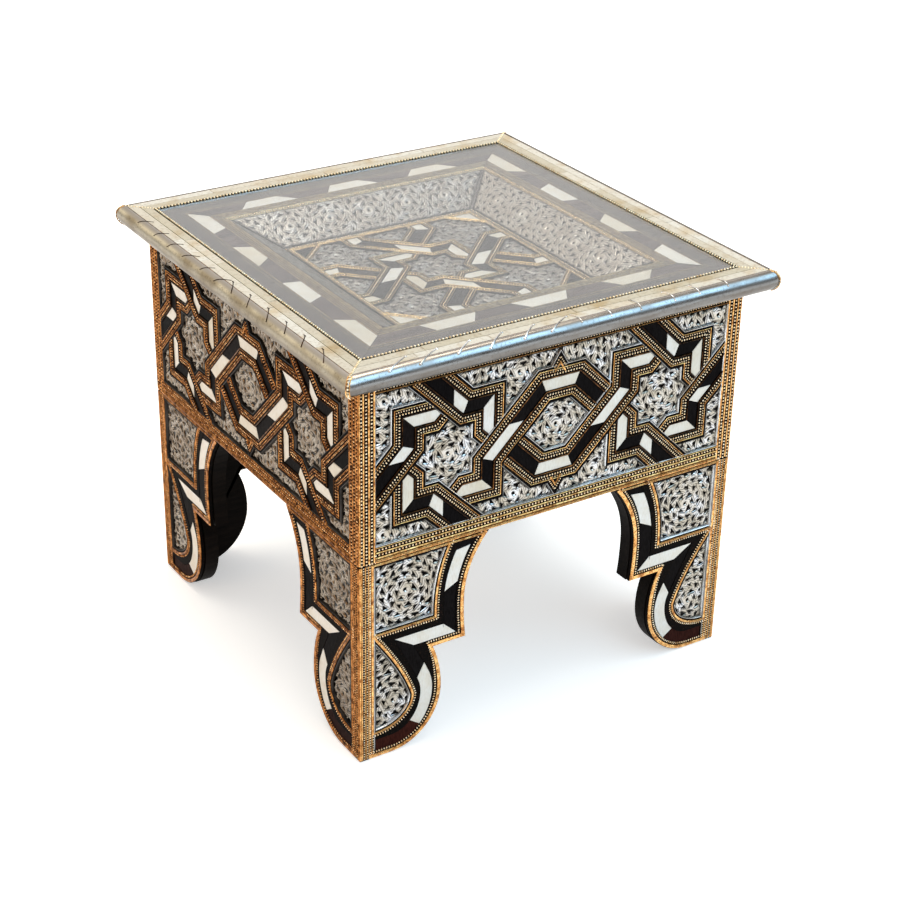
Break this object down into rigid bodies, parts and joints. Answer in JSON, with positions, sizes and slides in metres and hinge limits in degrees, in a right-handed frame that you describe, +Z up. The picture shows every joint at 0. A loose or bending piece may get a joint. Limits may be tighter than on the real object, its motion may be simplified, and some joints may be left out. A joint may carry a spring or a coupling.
{
  "type": "inlaid side table",
  "caption": "Low square side table with a glazed display tray in its top, rounded rim, inlaid strapwork aprons and arched legs with a round bulb.",
  "frame": {"origin": "on the floor, under the middle of the square top", "axes": "+Z up, -Y is the front side, +X to the right seen from the front; the four sides are alike, turned about Z in quarter turns"},
  "size_m": [0.5, 0.5, 0.44],
  "materials": {
    "dark_wood": "black-brown stained cedar, satin",
    "walnut_wood": "dark brown walnut, polished",
    "nickel_silver_repousse": "hand-worked nickel silver sheet, blackened ground",
    "polished_nickel_silver": "rolled nickel silver sheet, polished",
    "silver_faced_wood": "wood faced with thin hand-worked nickel silver sheet",
    "brass_bone_strapwork": null,
    "camel_bone": "polished camel bone",
    "brass_wire": "milled brass wire",
    "clear_glass": "clear float glass, ground edge"
  },
  "bodies": {
    "table": {"apron_board_front": "dark_wood", "apron_silver_sheet_front": "nickel_silver_repousse", "apron_strapwork_front": "brass_bone_strapwork", "rim_core_front": "dark_wood", "rim_edging_front": "polished_nickel_silver", "rim_bone_front": "camel_bone", "frieze_rail_front": "walnut_wood", "tray_wall_front": "silver_faced_wood", "leg_board_front_left_front_face": "dark_wood", "leg_strapwork_front_left_front_face": "brass_bone_strapwork", "leg_board_front_right_front_face": "dark_wood", "leg_strapwork_front_right_front_face": "brass_bone_strapwork", "leg_silver_sheet_front_left": "nickel_silver_repousse", "corner_block_front_left": "dark_wood", "apron_board_right": "dark_wood", "apron_silver_sheet_right": "nickel_silver_repousse", "apron_strapwork_right": "brass_bone_strapwork", "rim_core_right": "dark_wood", "rim_edging_right": "polished_nickel_silver", "rim_bone_right": "camel_bone", "frieze_rail_right": "walnut_wood", "tray_wall_right": "silver_faced_wood", "leg_board_front_right_right_face": "dark_wood", "leg_strapwork_front_right_right_face": "brass_bone_strapwork", "leg_board_back_right_right_face": "dark_wood", "leg_strapwork_back_right_right_face": "brass_bone_strapwork", "leg_silver_sheet_front_right": "nickel_silver_repousse", "corner_block_front_right": "dark_wood", "apron_board_back": "dark_wood", "apron_silver_sheet_back": "nickel_silver_repousse", "apron_strapwork_back": "brass_bone_strapwork", "rim_core_back": "dark_wood", "rim_edging_back": "polished_nickel_silver", "rim_bone_back": "camel_bone", "frieze_rail_back": "walnut_wood", "tray_wall_back": "silver_faced_wood", "leg_board_back_right_back_face": "dark_wood", "leg_strapwork_back_right_back_face": "brass_bone_strapwork", "leg_board_back_left_back_face": "dark_wood", "leg_strapwork_back_left_back_face": "brass_bone_strapwork", "leg_silver_sheet_back_right": "nickel_silver_repousse", "corner_block_back_right": "dark_wood", "apron_board_left": "dark_wood", "apron_silver_sheet_left": "nickel_silver_repousse", "apron_strapwork_left": "brass_bone_strapwork", "rim_core_left": "dark_wood", "rim_edging_left": "polished_nickel_silver", "rim_bone_left": "camel_bone", "frieze_rail_left": "walnut_wood", "tray_wall_left": "silver_faced_wood", "leg_board_back_left_left_face": "dark_wood", "leg_strapwork_back_left_left_face": "brass_bone_strapwork", "leg_board_front_left_left_face": "dark_wood", "leg_strapwork_front_left_left_face": "brass_bone_strapwork", "leg_silver_sheet_back_left": "nickel_silver_repousse", "corner_block_back_left": "dark_wood", "tray_floor": "dark_wood", "tray_strapwork": "brass_bone_strapwork", "glass_bead_wire": "brass_wire"},
    "glass": {"glass_pane": "clear_glass"}
  },
  "joints": [
    {"name": "glass_lift", "type": "slide", "parent": "table", "child": "glass", "axis": [0, 0, 1], "range_m": [0, 0.06]}
  ]
}
